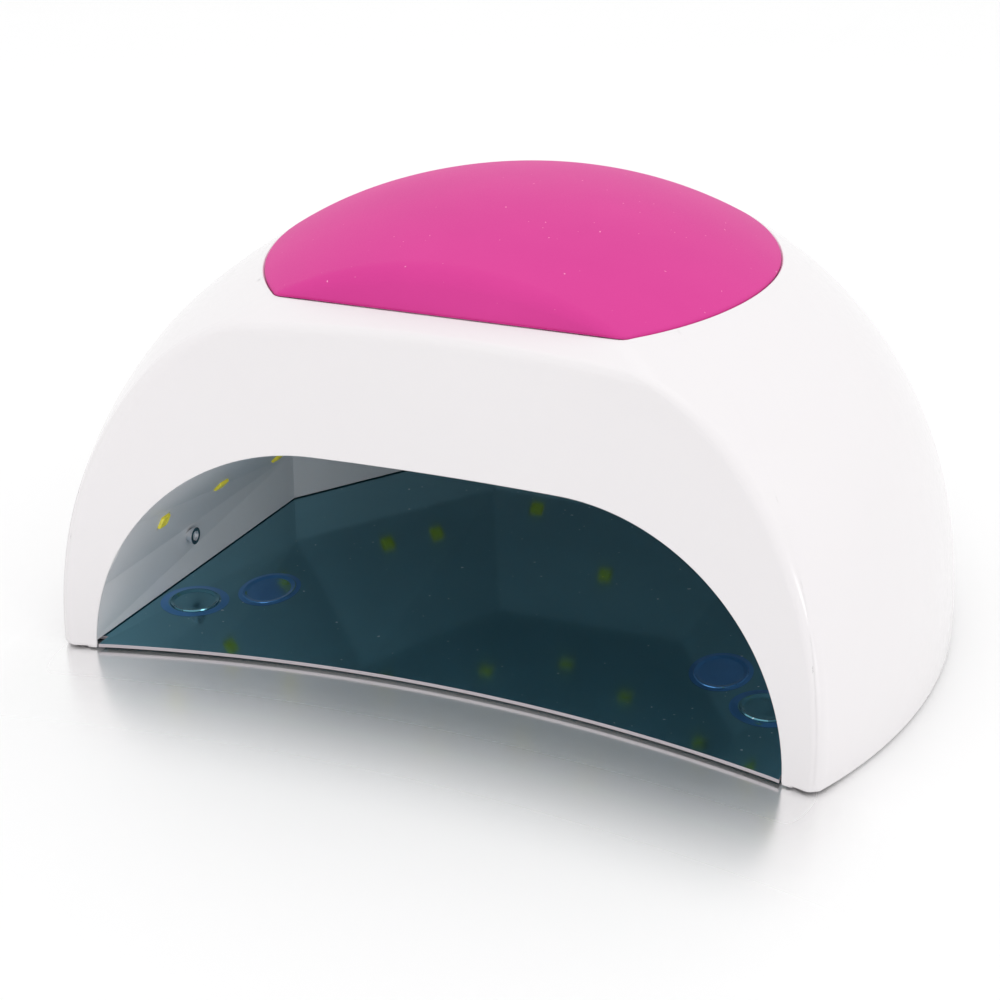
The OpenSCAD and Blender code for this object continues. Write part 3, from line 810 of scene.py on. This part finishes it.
def new_material(name):
    """A material with its principled shader, node tree and object coordinates."""
    material = bpy.data.materials.new(name)
    material.use_nodes = True
    tree = material.node_tree
    shader = tree.nodes["Principled BSDF"]
    coordinates = tree.nodes.new("ShaderNodeTexCoord").outputs["Object"]
    return material, tree, shader, coordinates


def noise(tree, coordinates, scale, detail=4.0, stretch=None):
    """A noise texture's value; scale is in features per metre."""
    node = tree.nodes.new("ShaderNodeTexNoise")
    node.inputs["Scale"].default_value = scale
    node.inputs["Detail"].default_value = detail
    if stretch:
        mapping = tree.nodes.new("ShaderNodeMapping")
        mapping.inputs["Scale"].default_value = stretch
        tree.links.new(coordinates, mapping.inputs["Vector"])
        coordinates = mapping.outputs["Vector"]
    tree.links.new(coordinates, node.inputs["Vector"])
    return node.outputs["Fac"]


def ramp(tree, value, stops):
    """Colours by value; stops are (position, colour)."""
    node = tree.nodes.new("ShaderNodeValToRGB")
    elements = node.color_ramp.elements
    while len(elements) < len(stops):
        elements.new(0.5)
    for element, (position, color) in zip(elements, stops):
        element.position = position
        element.color = (*color, 1)
    tree.links.new(value, node.inputs["Fac"])
    return node.outputs["Color"]


def spread(tree, value, low, high):
    """The value stretched from its middle range to between low and high."""
    node = tree.nodes.new("ShaderNodeMapRange")
    node.inputs["From Min"].default_value = 0.3
    node.inputs["From Max"].default_value = 0.7
    node.inputs["To Min"].default_value = low
    node.inputs["To Max"].default_value = high
    tree.links.new(value, node.inputs["Value"])
    return node.outputs["Result"]


def add_bump(tree, shader, value, strength, distance):
    node = tree.nodes.new("ShaderNodeBump")
    node.inputs["Strength"].default_value = strength
    node.inputs["Distance"].default_value = distance
    tree.links.new(value, node.inputs["Height"])
    tree.links.new(node.outputs["Normal"], shader.inputs["Normal"])


def scaled(color, factor):
    return tuple(min(channel * factor, 1) for channel in color)


def plain_finish(name, color, rough, metallic=0.0, patch=60, grain=2500, vary=0.04, bump=0.1,
                 depth=0.02 * MM, stretch=None, **sockets):
    """A surface whose colour and roughness drift gently and whose fine grain catches the light."""
    material, tree, shader, coordinates = new_material(name)
    drift = noise(tree, coordinates, patch, 3, stretch)
    fine = noise(tree, coordinates, grain, 5, stretch)
    shade = ramp(tree, drift, [(0.3, scaled(color, 1 - vary)), (0.7, scaled(color, 1 + vary))])
    tree.links.new(shade, shader.inputs["Base Color"])
    tree.links.new(spread(tree, fine, rough * 0.85, min(rough * 1.15, 1)), shader.inputs["Roughness"])
    add_bump(tree, shader, fine, bump, depth)
    shader.inputs["Metallic"].default_value = metallic
    for socket, value in sockets.items():
        shader.inputs[socket.replace("_", " ")].default_value = value
    return material


def white_plastic():
    """Glossy moulded white with the faintest moulding ripple."""
    return plain_finish("shell_white", (0.848, 0.822, 0.834), 0.22, patch=18, grain=500, vary=0.006,
                        bump=0.02, depth=0.01 * MM, Coat_Weight=0.35, Coat_Roughness=0.08)


def pink_silicone():
    """Matte silicone with a fine sandy grain and stray dust."""
    material, tree, shader, coordinates = new_material("pad_pink")
    grain = noise(tree, coordinates, 3200, 6)
    drift = noise(tree, coordinates, 35, 3)
    color = ramp(tree, drift, [(0.3, (0.665, 0.043, 0.292)), (0.7, (0.695, 0.048, 0.306))])
    dust = ramp(tree, noise(tree, coordinates, 900, 1), [(0.785, (0, 0, 0)), (0.81, (1, 1, 1))])
    mix = tree.nodes.new("ShaderNodeMix")
    mix.data_type = "RGBA"
    mix.inputs[7].default_value = (0.9, 0.32, 0.55, 1)
    tree.links.new(dust, mix.inputs[0])
    tree.links.new(color, mix.inputs[6])
    tree.links.new(mix.outputs[2], shader.inputs["Base Color"])
    tree.links.new(spread(tree, grain, 0.5, 0.62), shader.inputs["Roughness"])
    add_bump(tree, shader, grain, 0.25, 0.03 * MM)
    shader.inputs["Specular IOR Level"].default_value = 0.22
    return material


def tray_mirror():
    """Teal-tinted mirror steel with dust specks and faint polishing marks."""
    material, tree, shader, coordinates = new_material("tray_mirror")
    drift = noise(tree, coordinates, 25, 3)
    color = ramp(tree, drift, [(0.3, (0.115, 0.30, 0.37)), (0.7, (0.13, 0.325, 0.40))])
    dust = ramp(tree, noise(tree, coordinates, 700, 1), [(0.765, (0, 0, 0)), (0.785, (1, 1, 1))])
    mix = tree.nodes.new("ShaderNodeMix")
    mix.data_type = "RGBA"
    mix.inputs[7].default_value = (0.55, 0.72, 0.8, 1)
    tree.links.new(dust, mix.inputs[0])
    tree.links.new(color, mix.inputs[6])
    tree.links.new(mix.outputs[2], shader.inputs["Base Color"])
    marks = noise(tree, coordinates, 900, 4, (1, 12, 1))
    tree.links.new(spread(tree, marks, 0.07, 0.13), shader.inputs["Roughness"])
    add_bump(tree, shader, marks, 0.02, 0.01 * MM)
    shader.inputs["Metallic"].default_value = 1.0
    return material


def cut_edge():
    """Bright sheared steel."""
    return plain_finish("cut_edge", (0.50, 0.46, 0.49), 0.35, metallic=0.4, patch=300, grain=3000,
                        stretch=(0.3, 0.3, 6))


def dish_blue():
    """Blue-tinted mirror where the plate was pressed."""
    return plain_finish("dish_blue", (0.10, 0.30, 0.62), 0.12, metallic=1.0, patch=80, grain=1500,
                        vary=0.05, bump=0.03)


def reflector_grey():
    """Silver-grey satin lining."""
    return plain_finish("reflector_grey", (0.78, 0.785, 0.81), 0.4, patch=30, grain=1800,
                        vary=0.03, bump=0.08)


def circuit_green():
    """Solder resist over fine copper tracks."""
    material, tree, shader, coordinates = new_material("board_green")
    brick = tree.nodes.new("ShaderNodeTexBrick")
    brick.inputs["Scale"].default_value = 220
    brick.inputs["Color1"].default_value = (0.012, 0.16, 0.07, 1)
    brick.inputs["Color2"].default_value = (0.018, 0.20, 0.085, 1)
    brick.inputs["Mortar"].default_value = (0.05, 0.32, 0.12, 1)
    brick.inputs["Mortar Size"].default_value = 0.03
    tree.links.new(coordinates, brick.inputs["Vector"])
    tree.links.new(brick.outputs["Color"], shader.inputs["Base Color"])
    fine = noise(tree, coordinates, 2000, 4)
    tree.links.new(spread(tree, fine, 0.3, 0.4), shader.inputs["Roughness"])
    add_bump(tree, shader, brick.outputs["Fac"], 0.3, 0.03 * MM)
    return material


def phosphor_painted_glow():
    """Yellow phosphor gel with a grainy fill, and a faint emission that paints a glow onto the LEDs, which
    are switched off.
    """
    return plain_finish("led_yellow", (0.80, 0.72, 0.06), 0.35, patch=900, grain=4000, vary=0.12,
                        bump=0.3, Emission_Color=(0.8, 0.7, 0.05, 1), Emission_Strength=0.12,
                        Coat_Weight=0.5)


PLAIN_FINISHES = {
    "frame_white": dict(color=(0.80, 0.80, 0.81), rough=0.45, vary=0.02),
    "foot_rubber": dict(color=(0.045, 0.045, 0.048), rough=0.75, bump=0.4, grain=1500, vary=0.15),
    "magnet_nickel": dict(color=(0.72, 0.72, 0.70), rough=0.18, metallic=1.0, vary=0.05),
    "bezel_chrome": dict(color=(0.82, 0.82, 0.84), rough=0.07, metallic=1.0, vary=0.03, bump=0.03),
    "sensor_clear": dict(color=(0.66, 0.68, 0.72), rough=0.08, vary=0.08, Coat_Weight=1.0),
    "sensor_dark": dict(color=(0.02, 0.02, 0.03), rough=0.08, vary=0.2, Coat_Weight=0.5),
    "panel_grey": dict(color=(0.56, 0.57, 0.59), rough=0.3, vary=0.02, Coat_Weight=0.3),
    "window_dark": dict(color=(0.012, 0.012, 0.015), rough=0.06, vary=0.15, bump=0.01, Coat_Weight=0.8),
    "display_red": dict(color=(0.22, 0.015, 0.015), rough=0.4, vary=0.1),
    "button_white": dict(color=(0.84, 0.84, 0.85), rough=0.32, vary=0.01, grain=1600),
    "switch_black": dict(color=(0.02, 0.02, 0.02), rough=0.5, vary=0.2),
    "part_slate": dict(color=(0.06, 0.07, 0.10), rough=0.35, vary=0.15, patch=200),
    "ribbon_grey": dict(color=(0.50, 0.50, 0.51), rough=0.45, vary=0.12, patch=500, stretch=(3, 0.2, 0.2)),
    "jack_black": dict(color=(0.022, 0.022, 0.024), rough=0.42, vary=0.15, grain=1800, bump=0.25),
    "lead_red": dict(color=(0.42, 0.015, 0.015), rough=0.4, vary=0.1),
    "screw_steel": dict(color=(0.52, 0.52, 0.54), rough=0.3, metallic=1.0, vary=0.1, stretch=(1, 1, 8)),
}
SPECIAL_FINISHES = {
    "shell_white": white_plastic, "pad_pink": pink_silicone, "tray_mirror": tray_mirror,
    "reflector_grey": reflector_grey, "board_green": circuit_green, "led_yellow": phosphor_painted_glow,
}


def dress_cad():
    """Gives every node of the frame the finish of its slot."""
    made = {}
    for part in frame["record"]["subparts"]:
        slot = part["material_slot"]
        if slot not in made:
            plain = PLAIN_FINISHES.get(slot)
            made[slot] = plain_finish(slot, **plain) if plain else SPECIAL_FINISHES[slot]()
        data = frame["nodes"][part["node"]].data
        data.materials.clear()
        data.materials.append(made[slot])


# ---- Floor, light and camera ----------------------------------------------------------

CAMERA_AIM = Vector((-12.80, -11.00, 17.71)) * MM
CAMERA_TURN = math.radians(21.57)
CAMERA_RISE = math.radians(23.74)
CAMERA_DISTANCE = 532.2 * MM
CAMERA_LENS = 71.63
FLOOR_HALF = 3.0
# How far in front of the lamp's hollow face the table top still mirrors
MIRROR_REACH = 54 * MM
MIRROR_BORDER = 20 * MM


def make_camera():
    """A square view from the front right and above."""
    flat = math.cos(CAMERA_RISE)
    back = Vector((math.sin(CAMERA_TURN) * flat, -math.cos(CAMERA_TURN) * flat, math.sin(CAMERA_RISE)))
    data = bpy.data.cameras.new("camera")
    data.lens = CAMERA_LENS
    data.sensor_width = 36
    data.clip_start = 0.01
    camera = bpy.data.objects.new("camera", data)
    camera.location = CAMERA_AIM + back * CAMERA_DISTANCE
    camera.rotation_euler = back.to_track_quat("Z", "Y").to_euler()
    bpy.context.scene.collection.objects.link(camera)
    bpy.context.scene.camera = camera


def fade(tree, value, near, far, at_near, at_far):
    """A smooth change from one number at near to another at far."""
    node = tree.nodes.new("ShaderNodeMapRange")
    node.interpolation_type = "SMOOTHSTEP"
    for socket, number in zip(("From Min", "From Max", "To Min", "To Max"), (near, far, at_near, at_far)):
        node.inputs[socket].default_value = number
    tree.links.new(value, node.inputs["Value"])
    return node.outputs["Result"]


def product(tree, a, b):
    node = tree.nodes.new("ShaderNodeMath")
    node.operation = "MULTIPLY"
    tree.links.new(a, node.inputs[0])
    tree.links.new(b, node.inputs[1])
    return node.outputs["Value"]


def floor_white():
    """White table top that mirrors the lamp close to its face and turns matte further away."""
    material, tree, shader, coordinates = new_material("floor_white")
    tint = ramp(tree, noise(tree, coordinates, 3, 3), [(0.3, (0.945,) * 3), (0.7, (0.955,) * 3)])
    tree.links.new(tint, shader.inputs["Base Color"])
    reach = tree.nodes.new("ShaderNodeVectorMath")
    reach.operation = "DISTANCE"
    reach.inputs[1].default_value = (0, FRONT_Y - FRONT_R, 0)
    tree.links.new(coordinates, reach.inputs[0])
    ahead = reach.outputs["Value"]
    axes = tree.nodes.new("ShaderNodeSeparateXYZ")
    tree.links.new(coordinates, axes.inputs[0])
    aside = tree.nodes.new("ShaderNodeMath")
    aside.operation = "ABSOLUTE"
    tree.links.new(axes.outputs["X"], aside.inputs[0])
    mirror = fade(tree, ahead, FRONT_R - MIRROR_REACH, FRONT_R, 0.03, 0.84)
    inside = fade(tree, aside.outputs["Value"], HALF_W - MIRROR_BORDER, HALF_W, 1, 0.05)
    before = fade(tree, ahead, FRONT_R, FRONT_R + MIRROR_BORDER, 1, 0.05)
    tree.links.new(product(tree, product(tree, mirror, inside), before), shader.inputs["Metallic"])
    dull = fade(tree, ahead, FRONT_R - 2 * MIRROR_REACH, FRONT_R, 0.5, 0.2)
    tree.links.new(dull, shader.inputs["Roughness"])
    return material


def make_floor():
    """A large pale glossy table top."""
    mesh = bpy.data.meshes.new("floor")
    half = FLOOR_HALF
    mesh.from_pydata([(-half, -half, 0), (half, -half, 0), (half, half, 0), (-half, half, 0)], [],
                     [(0, 1, 2, 3)])
    floor = place(mesh, "floor")
    mesh.materials.append(floor_white())


def make_light(name, place_at, aim, size, power, color=(1, 1, 1)):
    """A soft box that faces a point."""
    data = bpy.data.lights.new(name, "AREA")
    data.shape = "RECTANGLE"
    data.size, data.size_y = size
    data.energy = power
    data.color = color
    light = bpy.data.objects.new(name, data)
    light.location = place_at
    light.rotation_euler = (Vector(place_at) - Vector(aim)).to_track_quat("Z", "Y").to_euler()
    bpy.context.scene.collection.objects.link(light)


def make_world(strength, color):
    world = bpy.data.worlds.new("studio")
    world.use_nodes = True
    background = world.node_tree.nodes["Background"]
    background.inputs["Color"].default_value = (*color, 1)
    background.inputs["Strength"].default_value = strength
    bpy.context.scene.world = world


def make_studio():
    make_world(1.0, (1, 1, 1))
    make_light("right_box", (1.1, 0.1, 0.9), (0, 0, 0.05), (0.9, 0.9), 0.35)
    make_light("top_box", (0, -0.1, 1.3), (0, 0, 0.05), (1.2, 1.2), 1.6)
    make_light("low_box", (1.2, -0.75, 0.22), (-0.06, -0.07, 0.02), (0.4, 0.25), 1.2)


bpy.context.scene.view_settings.view_transform = "Standard"
make_camera()
dress_cad()
make_shell()
make_pad()
make_plate()
make_leds()
make_floor()
make_studio()
